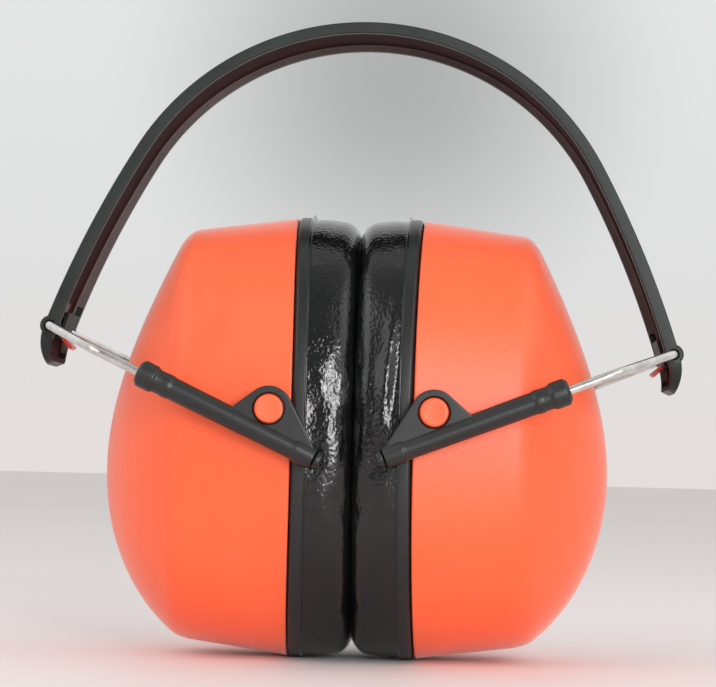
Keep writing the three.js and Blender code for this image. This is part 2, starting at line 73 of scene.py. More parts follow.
ARM_START, ARM_END, ARM_RADIUS, ARM_BORE = 30.5, 79, 2.7, 1.5
COLLAR_RADIUS, COLLAR_LENGTH = 3.45, 5
PIN_ALONG, PIN_RISE = 63.7, 6.2
LUG_RADIUS, LUG_OUTBOARD, LUG_INBOARD, LUG_THICKNESS = 5.7, 8.7, 14.9, 3.4
LUG_FOOT_RISE = 2

RIM_OUT, CREASE_OUT, DOME_OUT = 16.7, 45.5, 66.3
RIM_HALF_HEIGHT, RIM_HALF_WIDTH, OUTLINE_POWER = 57.75, 43, 2.35
DRAFT, DOME_POWER, DOME_DROP, DROP_POWER, SADDLE = 3.8, 1.95, 9.2, 2.6, 1.5
SHELL_WALL, LINER_THICKNESS, LINER_SETBACK = 2.5, 9, 4.2
PIN_OUT, PIN_ABOVE_MIDDLE = 20.4, 5.9
STUD_RADIUS, STUD_TIP, SHOULDER_RADIUS = 3.5, 49.4, 4.7

PLATE_BACK, PLATE_FRONT, PLATE_PROUD = 16.4, 13, 0.2
SPIGOT_INSET, SPIGOT_THICKNESS, SPIGOT_OUT = 3.4, 1.7, 19.6
PAD_BACK, PAD_WIDTH, PAD_ROUNDING, PAD_PROUD = 12.7, 21, 5, 0.1

# ---- finer details of the looks, in millimetres and plain shares ----
MERGE_DISTANCE = 1e-4
CUT_MERGE_DISTANCE, CUT_SHORTEST_EDGE = 0.004, 0.002
LONGEST_ROUNDING = 2.2  # a rounding takes up at most 1 / 2.2 of an edge

BAR_ROUNDING, CHANNEL_ROUNDING = 0.4, 0.5
BOSS_SPARE, BOSS_CHAMFER = 0.15, 0.4
CUT_PAST, HOLE_PAST, CUT_SPARE, SEAT_ROOM = 3, 1, 0.03, 0.2
FLANGE_MARGIN = 0.2
FLOOR_FACING, WALL_FACING = -0.3, 0.7  # how squarely a face looks inwards, or sideways
# the last of these sets where the clip finger's painted red reflection begins, past the plate's
# inside
CLIP_BEVEL, TONGUE_ROOT, TONGUE_DROP, PAINTED_RED_FROM = 0.2, 0.2, 0.1, 0.05

COLLAR_ROUNDING, COLLAR_STEP = 0.9, 0.6
NECK = [(0, 0.28), (2.0, 0.24), (2.4, 0.36), (3.7, 0.36), (4.3, 0.15)]  # past the collar, proud
TIP = [(-5.5, -0.05), (-5.0, 0.28), (0, 0.14)]  # past the arm's end, proud
ARM_ROUNDING, BORE_PAST = 0.3, 1
LUG_ROUNDING, LUG_EDGE, LUG_BASE = 0.35, 0.1, -1.0
BASE_DRAW, FOOT_DRAW = 1.4, 1.6  # how many insets the lug's ends are drawn in by
EYE_CHAMFER, EYE_PAST, EYE_FLARE = 0.35, 5, 0.5
PLUG_SHANK, PLUG_HEAD, PLUG_RADIUS, PLUG_TOP_RADIUS, PLUG_ROUNDING = 5, 1.7, 2.3, 2.2, 0.5

CREASE_SETBACK, CREASE_SOFTENING = 0.35, 3.2
LIP_ROUNDING = 0.55
STUD_ROOT_SHARE, SHOULDER_CHAMFER = 0.7, 0.3
STUD_END = [(-0.4, 0), (-0.1, -0.25), (0, -0.6), (-0.12, -1.1)]  # past the tip, proud
LINER_GAP, LINER_ROUNDING = 0.5, 1.6
PLATE_CHAMFER_DEPTH, PLATE_CHAMFER_INSET, PLATE_ROUNDING = 0.7, 0.6, 0.3
WELD_RADIUS, WELD_INSET = 0.42, 0.1
NIB_HEIGHT, NIB_STEPS, NIB_ZONE = 1.1, 1.2, 2

PAD_SLOPE = 0.12  # how far the pad's side leans in, for each millimetre towards its face
PAD_EDGE = 0.3
SKIN_INSET, SKIN_FACE, SKIN_TUCK = 0.25, 0.06, 0.2
FOAM_INSET, FOAM_SETBACK = 1.6, 0.3
PAD_TOUCH = 0.04  # how near the pads come to the plane where they meet

# creases at the front of the pads: from (out, z) to (out, z), width, height (below 0 it sinks)
CREASES = {
    "left": [((2.6, 52), (2.4, 90), 1.0, 0.2), ((9.0, 40), (9.6, 74), 2.0, -0.3)],
    "right": [
        ((7.0, 58), (10.2, 94), 1.5, 0.5),
        ((9.8, 60), (11.6, 86), 1.6, -0.5),
        ((2.8, 48), (3.3, 88), 1.2, 0.22),
        ((5.2, 44), (5.4, 80), 1.3, -0.25),
    ],
}
# how far in front of the cup's middle they begin, over how much they grow, and their taper
CREASE_START, CREASE_FADE, CREASE_TAPER = 25, 8, 0.6

# ---- how finely the looks are divided ----
CROWN_STATIONS, SIDE_STATIONS, TAB_STATIONS, CORNER_STATIONS = 65, 33, 12, 10
BAR_CORNER_POINTS = 4
ROD_SEGMENTS, ARM_SEGMENTS, BORE_SEGMENTS, PIVOT_SEGMENTS, PLUG_SEGMENTS = 40, 56, 32, 48, 40
WIRE_SIDES, BEND_POINTS, LUG_STEPS = 20, 9, 30
RIM_STEPS, LINER_STEPS, WELD_STEPS, SKIN_STEPS, FOAM_STEPS = 176, 96, 240, 168, 96
WALL_POINTS, CREASE_POINTS, DOME_POINTS, LIP_POINTS, WELD_POINTS = 9, 9, 26, 5, 10
PAD_POINTS = {"side": 9, "corner": 9, "face": 6, "inner_corner": 7, "inner_side": 5, "back": 9}

# ---- the angles in degrees from which an edge stays sharp ----
SHARP_ANGLE, WIRE_SHARP, ARM_SHARP, PLUG_SHARP, SHELL_SHARP, LINER_SHARP = 35, 50, 30, 40, 32, 50

# ---- the cushions' cloth simulation ----
SIMULATION_SCALE = 10
SIMULATION_FRAMES = 22
SIMULATION_SHARE = 0.5  # how much of the movement is kept
SIMULATION_LIMIT = 0.9  # the furthest that a point may move, in millimetres
SIMULATION_HELD = 1.6  # how deep the held strip at the pad's back is, in millimetres

# ---- tones, as linear red, green and blue, from darker to lighter ----
ORANGE_TONES = [(0.93, 0.112, 0.031), (0.97, 0.131, 0.039)]
VINYL_TONES = [(0.003, 0.0033, 0.0034), (0.0055, 0.006, 0.006)]
STEEL_TONES = [(0.58, 0.57, 0.54), (0.78, 0.77, 0.74)]
SHEET_TONES = [(0.83, 0.765, 0.755), (0.85, 0.78, 0.77)]
# black plastics; the band channel's floor and walls and the clip's finger carry painted light, not
# a finish of their own
BLACK_FINISHES_AND_PAINTED_LIGHT = {  # middle tone, roughness from and to, depth of grain in millimetres, shine
    "band_satin": ((0.021, 0.026, 0.024), (0.34, 0.46), 0.04, 0.22),
    # the channel's floor: a maroon painted reflection of the orange cups on the band's black
    # plastic
    "band_floor_painted_reflection": ((0.034, 0.0135, 0.0145), (0.65, 0.8), 0.01, 0.06),
    # the channel's walls: a lighter, warm painted light on the same black plastic
    "band_wall_painted_light": ((0.095, 0.074, 0.07), (0.4, 0.55), 0.01, 0.3),
    "clip_satin": ((0.012, 0.014, 0.013), (0.4, 0.55), 0.02, 0.15),
    # the clip's finger: a red painted reflection of the orange cups on dark plastic
    "clip_painted_red_reflection": ((0.5, 0.035, 0.025), (0.2, 0.3), 0.02, 0.5),
    "arm_satin": ((0.011, 0.0125, 0.012), (0.3, 0.44), 0.05, 0.5),
    "plate_satin": ((0.009, 0.0105, 0.0105), (0.28, 0.42), 0.03, 0.5),
}

# ---- stage, in metres, watts and degrees, with the lens and sensor in millimetres ----
FLOOR_HALF = 14.0
LIGHT_TARGET = (0, 0, 0.07)
LIGHTS = {  # place, size, power
    "key": ((0.39, -1.19, 0.27), (0.26, 0.56), 8.5),
    "left_fill": ((-1.0, -0.8, 0.75), (1.2, 1.2), 6.5),
    "right_fill": ((1.0, -0.8, 0.75), (1.2, 1.2), 5),
}
TENT_TONES = [  # height of the direction, tone
    (0.02, (0.775, 0.735, 0.72)),
    (0.08, (0.745, 0.745, 0.745)),
    (0.17, (0.765, 0.79, 0.78)),
    (0.5, (0.92, 0.92, 0.92)),
]
# the shade behind the arch: its direction, its reach, and the share of light in its middle
SHADE_DIRECTION, SHADE_REACH, SHADE_LIGHT = (-0.02, 0.985, 0.165), 0.13, 0.56
# the Y parts of a direction between which the tent brightens, and its share of light in front
TENT_FRONT, TENT_BACK, TENT_FRONT_LIGHT = -0.6, 0.2, 0.4
CAMERA_PLACE, CAMERA_TARGET, CAMERA_ROLL = (0.0216, -0.640, 0.0488), (-0.0011, 0, 0.0830), 1.5
CAMERA_LENS, CAMERA_SENSOR, CAMERA_CLIP = 121, 36, (0.01, 50)


# ---- frames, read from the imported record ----

def joint(name):
    return next(j for j in frame["joints"] if j["name"] == name)


HOLE = {side: Vector(joint(f"{side}_yoke_swing")["pos_m"]) / MM for side in SIDES}
PIN = {side: Vector(joint(f"{side}_cup_tilt")["pos_m"]) / MM for side in SIDES}
LEG = {side: Vector(joint(f"{side}_arm_slide")["axis"]).normalized() for side in SIDES}


def placed(x_axis, y_axis, z_axis, origin):
    """The 4 x 4 that takes local millimetres to world millimetres."""
    matrix = Matrix((x_axis, y_axis, z_axis)).transposed().to_4x4()
    matrix.translation = origin
    return matrix


def band_frame():
    across = (HOLE["right"] - HOLE["left"]).normalized()
    up = Vector((-across.z, 0, across.x))
    return placed(across, Vector((0, 1, 0)), up, (HOLE["right"] + HOLE["left"]) / 2)


def end_frame(side):
    """At a band end's hole, with X outwards from the band and Z up the band's leg."""
    lean = math.radians(LEG_LEAN)
    turn = Matrix.Rotation(-lean, 4, "Y")
    if SIDES[side] < 0:
        turn = Matrix.Rotation(math.pi, 4, "Z") @ turn
    matrix = band_frame() @ turn
    matrix.translation = HOLE[side]
    return matrix


def yoke_frame(side):
    """At the hole, with -X along the wire's legs."""
    x_axis = -LEG[side]
    y_axis = Vector((0, SIDES[side], 0))
    return placed(x_axis, y_axis, x_axis.cross(y_axis), HOLE[side])


def cup_frame(side):
    """At the middle of the plane where the cushions meet, with X outwards from it."""
    sign = SIDES[side]
    origin = PIN[side] - Vector((sign * PIN_OUT, 0, PIN_ABOVE_MIDDLE))
    return placed(Vector((sign, 0, 0)), Vector((0, sign, 0)), Vector((0, 0, 1)), origin)


# ---- meshes ----

def add_object(name, mesh):
    piece = bpy.data.objects.new(name, mesh)
    SCENE.collection.objects.link(piece)
    return piece


def build(name, points, faces, matrix):
    """A smooth-shaded object from local millimetre points, its faces pointing out."""
    mesh = bpy.data.meshes.new(name)
    mesh.from_pydata([tuple(p) for p in np.asarray(points, float)], [], faces)
    tools = bmesh.new()
    tools.from_mesh(mesh)
    bmesh.ops.remove_doubles(tools, verts=tools.verts, dist=MERGE_DISTANCE)
    bmesh.ops.recalc_face_normals(tools, faces=tools.faces)
    tools.to_mesh(mesh)
    tools.free()
    mesh.transform(Matrix.Scale(MM, 4) @ matrix)
    mesh.polygons.foreach_set("use_smooth", [True] * len(mesh.polygons))
    return add_object(name, mesh)


def grid_faces(rows, columns, wrap_rows, wrap_columns):
    faces = []
    for i in range(rows if wrap_rows else rows - 1):
        for j in range(columns if wrap_columns else columns - 1):
            a, b = i * columns, (i + 1) % rows * columns
            k = (j + 1) % columns
            faces.append((a + j, b + j, b + k, a + k))
    return faces


def capped_faces(rows, columns):
    """The faces of a tube of closed rows, and of its two ends."""
    faces = grid_faces(rows, columns, False, True)
    faces.append(tuple(range(columns)))
    faces.append(tuple(range((rows - 1) * columns, rows * columns)))
    return faces


def angles(count):
    return np.linspace(0, 2 * math.pi, count, endpoint=False)


def points_of(mesh):
    return np.array([v.co for v in mesh.vertices])


def lathe(name, profile, matrix, segments):
    """A profile of (along X, radius) turned about X. A radius of 0 closes an end."""
    points = [
        (along, radius * math.cos(t), radius * math.sin(t))
        for t in angles(segments)
        for along, radius in profile
    ]
    return build(name, points, grid_faces(segments, len(profile), True, False), matrix)


def bezier(start, middle, end, t):
    return (1 - t) ** 2 * start + 2 * t * (1 - t) * middle + t * t * end


def rounded(profile, radius, steps):
    """Rounds every inner corner of a profile by a short Bezier arc."""
    points = [np.array(p, float) for p in profile]
    result = [points[0]]
    for before, at, after in zip(points, points[1:], points[2:]):
        a, b = before - at, after - at
        la, lb = np.linalg.norm(a), np.linalg.norm(b)
        reach = min(radius, la / LONGEST_ROUNDING, lb / LONGEST_ROUNDING)
        start, end = at + a / la * reach, at + b / lb * reach
        for i in range(steps + 1):
            result.append(bezier(start, at, end, i / steps))
    result.append(points[-1])
    return [tuple(p) for p in result]


def loop_rounded(profile, radius, steps):
    """The same for a closed profile, given without repeating its first point."""
    closed = [profile[-1], *profile, profile[0]]
    return rounded(closed, radius, steps)[1:-1]


def finished(piece):
    """The piece's own mesh, with its modifiers applied."""
    graph = bpy.context.evaluated_depsgraph_get()
    mesh = bpy.data.meshes.new_from_object(piece.evaluated_get(graph), depsgraph=graph)
    piece.modifiers.clear()
    piece.data = mesh
    mesh.name = piece.name
    return piece


def combined(piece, tool, operation):
    change = piece.modifiers.new("combine", "BOOLEAN")
    change.operation = operation
    change.solver = "EXACT"
    change.object = tool
    finished(piece)
    bpy.data.objects.remove(tool)
    return cleaned(piece)


def cleaned(piece):
    """Merges the hair-thin faces that a boolean leaves."""
    tools = bmesh.new()
    tools.from_mesh(piece.data)
    bmesh.ops.remove_doubles(tools, verts=tools.verts, dist=CUT_MERGE_DISTANCE * MM)
    bmesh.ops.dissolve_degenerate(tools, edges=tools.edges, dist=CUT_SHORTEST_EDGE * MM)
    tools.to_mesh(piece.data)
    tools.free()
    return piece


def bevelled(piece, width, segments=2, angle=SHARP_ANGLE):
    change = piece.modifiers.new("bevel", "BEVEL")
    change.width = width * MM
    change.segments = segments
    change.limit_method = "ANGLE"
    change.angle_limit = math.radians(angle)
    change.use_clamp_overlap = True
    return finished(piece)


def shade_by_angle(piece, angle=SHARP_ANGLE):
    """Smooth shading between faces that meet gently, led by the larger faces."""
    bpy.context.view_layer.objects.active = piece
    piece.select_set(True)
    bpy.ops.object.shade_smooth_by_angle(angle=math.radians(angle))
    piece.select_set(False)
    weighted = piece.modifiers.new("weighted", "WEIGHTED_NORMAL")
    weighted.keep_sharp = True
    weighted.weight = 100
    return finished(piece)


def prism(name, outline, y0, y1, matrix):
    """An outline of (x, z) points, extruded along Y."""
    points = [(x, y, z) for y in (y0, y1) for x, z in outline]
    return build(name, points, capped_faces(2, len(outline)), matrix)


def cuboid(name, x, y, z, matrix):
    outline = [(x[0], z[0]), (x[1], z[0]), (x[1], z[1]), (x[0], z[1])]
    return prism(name, outline, *y, matrix)


def rod(name, radius, y0, y1, matrix, chamfer=0):
    """A cylinder along local Y, with chamfered ends where a chamfer is given."""
    profile = [(y0, 0), (y0, radius - chamfer), (y0 + chamfer, radius),
               (y1 - chamfer, radius), (y1, radius - chamfer), (y1, 0)]
    if not chamfer:
        profile = [(y0, 0), (y0, radius), (y1, radius), (y1, 0)]
    return lathe(name, profile, matrix @ Matrix.Rotation(math.pi / 2, 4, "Z"), ROD_SEGMENTS)


# ---- materials ----

class Nodes:
    """A material's node tree with short ways to add what every material here uses."""

    def __init__(self, name):
        self.material = bpy.data.materials.new(name)
        self.material.use_nodes = True
        self.tree = self.material.node_tree
        self.shader = self.tree.nodes["Principled BSDF"]
        self.at = self.add("ShaderNodeTexCoord").outputs["Object"]

    def add(self, kind, **settings):
        node = self.tree.nodes.new(kind)
        for key, value in settings.items():
            setattr(node, key, value)
        return node

    def link(self, source, target):
        self.tree.links.new(source, target)

    def stretched(self, scale):
        node = self.add("ShaderNodeMapping")
        node.inputs["Scale"].default_value = scale
        self.link(self.at, node.inputs["Vector"])
        return node.outputs["Vector"]

    def noise(self, scale, detail, roughness=0.5, at=None, distortion=0):
        node = self.add("ShaderNodeTexNoise")
        node.inputs["Scale"].default_value = scale
        node.inputs["Detail"].default_value = detail
        node.inputs["Roughness"].default_value = roughness
        node.inputs["Distortion"].default_value = distortion
        self.link(at or self.at, node.inputs["Vector"])
        return node.outputs["Fac"]

    def cells(self, scale, at=None, feature="F1"):
        node = self.add("ShaderNodeTexVoronoi", feature=feature)
        node.inputs["Scale"].default_value = scale
        self.link(at or self.at, node.inputs["Vector"])
        return node.outputs["Distance"]

    def fade(self, value, start, end, tones):
        """From the first tone to the second, as a value goes from start to end."""
        node = self.add("ShaderNodeValToRGB")
        for stop, place, tone in zip(node.color_ramp.elements, (start, end), tones):
            stop.position = place
            stop.color = (*tone, 1)
        self.link(value, node.inputs["Fac"])
        return node.outputs["Color"]

    def spread(self, value, low, high):
        node = self.add("ShaderNodeMapRange")
        node.inputs["To Min"].default_value = low
        node.inputs["To Max"].default_value = high
        self.link(value, node.inputs["Value"])
        return node.outputs["Result"]

    def blend(self, a, b, share):
        node = self.add("ShaderNodeMix", data_type="FLOAT")
        node.inputs["Factor"].default_value = share
        self.link(a, node.inputs["A"])
        self.link(b, node.inputs["B"])
        return node.outputs["Result"]

    def bump(self, height, distance, strength, below=None):
        node = self.add("ShaderNodeBump")
        node.inputs["Distance"].default_value = distance * MM
        node.inputs["Strength"].default_value = strength
        self.link(height, node.inputs["Height"])
        if below is not None:
            self.link(below, node.inputs["Normal"])
        return node.outputs["Normal"]

    def set(self, **values):
        for key, value in values.items():
            self.shader.inputs[key.replace("_", " ")].default_value = value

    def wire_up(self, colour, roughness, normal=None):
        for key, source in (("Base Color", colour), ("Roughness", roughness), ("Normal", normal)):
            if source is not None:
                self.link(source, self.shader.inputs[key])
        return self.material


def shaded(tone, *shares):
    return [tuple(channel * share for channel in tone) for share in shares]


def orange_plastic():
    n = Nodes("orange_abs")
    drift = n.noise(scale=26, detail=3, roughness=0.55)
    grain = n.noise(scale=2600, detail=2)
    pits = n.cells(scale=1500)
    colour = n.fade(drift, 0.3, 0.7, ORANGE_TONES)
    rough = n.spread(n.blend(drift, grain, 0.6), low=0.32, high=0.52)
    fine = n.bump(grain, distance=0.05, strength=0.35)
    normal = n.bump(pits, distance=0.09, strength=0.45, below=fine)
    n.set(IOR=1.5, Subsurface_Weight=0.06, Subsurface_Scale=0.002)
    n.set(Sheen_Weight=0.38, Sheen_Roughness=0.35)
    n.set(Subsurface_Radius=(1, 0.35, 0.15))
    return n.wire_up(colour, rough, normal)


def black_plastic(name, tone, rough, grain_depth, shine):
    n = Nodes(name)
    n.set(Specular_IOR_Level=shine)
    drift = n.noise(scale=60, detail=3, roughness=0.6)
    grain = n.noise(scale=2200, detail=2)
    colour = n.fade(drift, 0.3, 0.7, shaded(tone, 0.85, 1.2))
    scuffs = n.noise(scale=900, detail=4, roughness=0.7, at=n.stretched((1, 0.2, 1)))
    rough_value = n.spread(n.blend(scuffs, drift, 0.4), *rough)
    normal = n.bump(grain, distance=grain_depth, strength=0.5)
    return n.wire_up(colour, rough_value, normal)


def vinyl(name, strength):
    n = Nodes(name)
    crinkle = n.cells(scale=1200, at=n.stretched((1.1, 1.1, 0.8)), feature="SMOOTH_F1")
    longer = n.stretched((1.2, 1.2, 0.8))
    creases = n.noise(scale=1300, detail=3, roughness=0.6, at=longer, distortion=1.0)
    drift = n.noise(scale=45, detail=3)
    colour = n.fade(drift, 0.35, 0.7, VINYL_TONES)
    rough = n.spread(creases, low=0.04, high=0.09)
    soft = n.bump(creases, distance=0.07, strength=strength)
    normal = n.bump(crinkle, distance=0.12, strength=strength, below=soft)
    n.set(IOR=1.52)
    return n.wire_up(colour, rough, normal)


def steel():
    n = Nodes("drawn_steel")
    lines = n.noise(scale=700, detail=4, roughness=0.6, at=n.stretched((0.15, 0.15, 1)))
    spots = n.noise(scale=160, detail=4, roughness=0.6)
    colour = n.fade(spots, 0.35, 0.6, STEEL_TONES)
    rough = n.spread(n.blend(lines, spots, 0.5), low=0.14, high=0.34)
    normal = n.bump(lines, distance=0.02, strength=0.4)
    n.set(Metallic=1.0)
    return n.wire_up(colour, rough, normal)


def foam(name, tone):
    n = Nodes(name)
    pores = n.cells(scale=900)
    lumps = n.noise(scale=240, detail=3, roughness=0.6)
    # darker in the pores: painted shade in the foam's open cells
    colour = n.fade(pores, 0.1, 0.6, shaded(tone, 0.45, 1.15))
    rough = n.spread(lumps, low=0.86, high=0.98)
    lumpy = n.bump(lumps, distance=0.6, strength=0.5)
    normal = n.bump(pores, distance=0.5, strength=0.8, below=lumpy)
    return n.wire_up(colour, rough, normal)


ORANGE = orange_plastic()
BLACK = {name: black_plastic(name, *finish) for name, finish in BLACK_FINISHES_AND_PAINTED_LIGHT.items()}
# the band's outside, then its channel floor and walls, whose tones are painted light
BAND_SATIN_AND_PAINTED_LIGHT = [BLACK["band_satin"], BLACK["band_floor_painted_reflection"], BLACK["band_wall_painted_light"]]
# the clip's satin, then its finger's painted red reflection
CLIP_SATIN_AND_PAINTED_REFLECTION = [BLACK["clip_satin"], BLACK["clip_painted_red_reflection"]]
VINYL = vinyl("black_vinyl", 0.78)
WELD = vinyl("welded_vinyl", 0.3)
STEEL = steel()
PAD_FOAM = foam("pad_foam", (0.16, 0.16, 0.165))
LINER_FOAM = foam("liner_foam", (0.2, 0.2, 0.205))


def dress(piece, body, materials, replaces=()):
    """Gives a finished piece its materials and its place in the frame."""
    slots = piece.data.materials
    if not len(slots):
        for material in materials:
            slots.append(material)
    else:
        for i, material in enumerate(materials):
            slots[i] = material
    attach(piece, body)
    if replaces:
        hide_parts(*replaces)
    return piece


# ---- headband ----

def arc_point(centre, radius, turn):
    return np.array((centre[0] + radius * math.sin(turn), centre[1] + radius * math.cos(turn)))


def band_line(end, corner):
    """Stations along the outer line: position, turn and share of the way from crown to tab.

    They close up towards the very end, where the tab's corners are rounded."""
    bend = math.radians(CROWN_ANGLE)
    crown = np.array((0, CROWN_HEIGHT - CROWN_RADIUS))
    side = arc_point(crown, CROWN_RADIUS - SIDE_RADIUS, bend)
    hole = math.acos(-side[1] / SIDE_RADIUS)
    tab = arc_point(side, SIDE_RADIUS - TAB_RADIUS, hole)
    last = math.acos((-TAB_LENGTH - tab[1]) / TAB_RADIUS)
    right = []
    for part in np.linspace(0, 1, CROWN_STATIONS):
        right.append((arc_point(crown, CROWN_RADIUS, bend * part), bend * part, CROWN_SHARE * part))
    for part in np.linspace(0, 1, SIDE_STATIONS)[1:]:
        turn = bend + (hole - bend) * part
        share = CROWN_SHARE + (SIDE_SHARE - CROWN_SHARE) * part
        right.append((arc_point(side, SIDE_RADIUS, turn), turn, share))
    heights = list(np.linspace(0, corner - end, TAB_STATIONS)[1:])
    for t in np.linspace(0, math.pi / 2, CORNER_STATIONS)[1:]:
        heights.append(corner * (1 - math.sin(t)) - end)
    for height in heights:
        turn = math.acos((height - tab[1]) / TAB_RADIUS)
        share = SIDE_SHARE + (1 - SIDE_SHARE) * (turn - hole) / (last - hole)
        right.append((arc_point(tab, TAB_RADIUS, turn), turn, share))
    left = [(at * (-1, 1), -turn, share) for at, turn, share in right[:0:-1]]
    return left + right


def tab_half(z, half, corner, end):
    """Half the width of a tab with rounded corners, at a height above the holes."""
    centre = corner - end
    if z >= centre:
        return half
    return half - corner + math.sqrt(max(0.0, corner ** 2 - (centre - z) ** 2))


def bar_section(half, outer, inner, rounding):
    """A rounded rectangle as (y, depth) points."""
    corners = [(half, outer, 0), (half, inner, 1), (-half, inner, 2), (-half, outer, 3)]
    points = []
    for y, depth, quarter in corners:
        centre = (y - math.copysign(rounding, y),
                  depth + (rounding if depth == outer else -rounding))
        for t in np.linspace(0, math.pi / 2, BAR_CORNER_POINTS):
            turn = math.pi / 2 * (quarter - 1) + t
            points.append((centre[0] + rounding * math.cos(turn),
                           centre[1] + rounding * math.sin(turn)))
    return points


def band_bar(name, half, corner, end, depths, rounding):
    """The band's full bar, or the bar that cuts its channel: a rounded rectangle, swept."""
    points = []
    stations = band_line(end, corner)
    for (x, z), turn, share in stations:
        width = tab_half(z, half, corner, end)
        outer, inner = depths(share)
        for y, depth in bar_section(width, outer, inner, rounding):
            points.append((x - depth * math.sin(turn), y, z - depth * math.cos(turn)))
    columns = len(points) // len(stations)
    return build(name, points, capped_faces(len(stations), columns), band_frame())


def band_depth(share):
    """Thicker towards the hole, then thinner again down the tab."""
    below = max(0.0, (share - SIDE_SHARE) / (1 - SIDE_SHARE))
    thicker = (BAND_DEPTH_END - BAND_DEPTH_CROWN) * min(share, SIDE_SHARE) ** DEPTH_POWER
    depth = BAND_DEPTH_CROWN + thicker
    return depth + (BAND_DEPTH_TAB - depth) * below


def headband():
    half = BAND_WIDTH / 2
    channel = half - FLANGE_WIDTH
    full = lambda share: (0, band_depth(share))
    hollow = lambda share: (WEB_THICKNESS, BAND_DEPTH_END + CUT_PAST)
    band = band_bar("headband_fine", half, TAB_CORNER, TAB_LENGTH, full, BAR_ROUNDING)
    cutter = band_bar("cutter", channel, END_CORNER, TAB_LENGTH - END_WALL, hollow,
                      CHANNEL_ROUNDING)
    combined(band, cutter, "DIFFERENCE")
    for side in SIDES:
        at = end_frame(side)
        # the spare keeps the boss's ends off the band's own side faces
        boss = rod("boss", BOSS_RADIUS, BOSS_SPARE - half, half - BOSS_SPARE, at, BOSS_CHAMFER)
        combined(band, boss, "UNION")
        for tool in seat_tools(half + HOLE_PAST, channel + CUT_SPARE, at):
            combined(band, tool, "DIFFERENCE")
    # paints reflected light into the channel's floor and walls
    paint_channel_light(band)
    shade_by_angle(band)
    return dress(band, "headband", BAND_SATIN_AND_PAINTED_LIGHT, ["headband"])


def seat_tools(reach, channel, at):
    """What is cut out at a band end for the wire and its clip."""
    inside = -BOSS_RADIUS - CUT_PAST
    gap = SNAP_GAP / 2
    slot = SLOT_HALF_WIDTH
    pocket = channel + POCKET_DEPTH
    boss = (-BOSS_RADIUS - SEAT_ROOM, BOSS_RADIUS + SEAT_ROOM)
    yield cuboid("seat", (inside, SEAT_CUT), (-channel, channel), boss, at)
    yield rod("hole", ARM_BORE, -reach, reach, at)
    yield cuboid("groove", (inside, CUT_SPARE), (-reach, reach), (-gap, gap), at)
    yield cuboid("slot", (-WEB_THICKNESS, BOSS_RADIUS), (-slot, slot), (SLOT_LOW, SLOT_HIGH), at)
    yield cuboid("pocket", (POCKET_INSIDE, POCKET_OUTSIDE), (-pocket, pocket),
                 (POCKET_LOW, POCKET_HIGH), at)


def paint_channel_light(band):
    """Paints light into the channel of the band's one black plastic: a maroon reflection of the
    orange cups on its floor, and a lighter warm tone on its walls.
    """
    outside, floor, wall = range(3)
    mesh = band.data
    mesh.materials.clear()
    for material in BAND_SATIN_AND_PAINTED_LIGHT:
        mesh.materials.append(material)
    back = band_frame().inverted()
    middle = Vector((0, 0, CROWN_HEIGHT - CROWN_RADIUS))
    limit = BAND_WIDTH / 2 - FLANGE_WIDTH
    for face in mesh.polygons:
        at = back @ (face.center / MM)
        outwards = (back.to_3x3() @ face.normal).dot((at - middle).normalized())
        # the flanges' outside stays plain; side walls get the lighter painted light, inward faces
        # the painted maroon reflection
        if abs(at.y) > limit + FLANGE_MARGIN:
            face.material_index = outside
        elif abs(face.normal.y) > WALL_FACING:
            face.material_index = wall
        else:
            face.material_index = floor if outwards < FLOOR_FACING else outside


def wire_clip(side):
    at = end_frame(side)
    wide = CLIP_HALF_WIDTH
    narrow = SLOT_HALF_WIDTH - CLEAR
    depth = (CLIP_INSIDE, CLIP_INSIDE + CLIP_THICKNESS)
    plate = bevelled(cuboid(f"{side}_clip", depth, (-wide, wide), (CLIP_LOW, CLIP_HIGH), at),
                     CLIP_BEVEL)
    reach = (CLIP_INSIDE + TONGUE_ROOT, TONGUE_TIP)
    height = (CLIP_HIGH - TONGUE_HEIGHT, CLIP_HIGH - TONGUE_DROP)
    tongue = cuboid("tongue", reach, (-narrow, narrow), height, at)
    finger = prism("finger", FINGER, -FINGER_HALF_WIDTH, FINGER_HALF_WIDTH, at)
    for extra in (bevelled(tongue, CLIP_BEVEL), bevelled(finger, CLIP_BEVEL)):
        combined(plate, extra, "UNION")
    shade_by_angle(plate)
    for material in CLIP_SATIN_AND_PAINTED_REFLECTION:
        plate.data.materials.append(material)
    # the finger's faces past the plate's inside get the painted red reflection of the orange cups
    back = at.inverted()
    for face in plate.data.polygons:
        face.material_index = int((back @ (face.center / MM)).x < CLIP_INSIDE - PAINTED_RED_FROM)
    return dress(plate, "headband", CLIP_SATIN_AND_PAINTED_REFLECTION, [f"{side}_wire_clip"])


# ---- wire yokes ----

def wire_points():
    """The wire's centreline in its own frame, with its bends rounded."""
    corners = [(-LEG_LENGTH, ARM_HALF_SPACING), (-SPLAY_LENGTH, ARM_HALF_SPACING), (0, BASE_HALF)]
    front = [np.array((x, -y, 0.0)) for x, y in corners]
    back = [np.array((x, y, 0.0)) for x, y in corners[::-1]]
    ends = front + back
    line = [ends[0]]
    for before, at, after in zip(ends, ends[1:], ends[2:]):
        a = (before - at) / np.linalg.norm(before - at)
        b = (after - at) / np.linalg.norm(after - at)
        start, end = at + a * BEND, at + b * BEND
        for t in np.linspace(0, 1, BEND_POINTS):
            line.append(bezier(start, at, end, t))
    line.append(ends[-1])
    return line


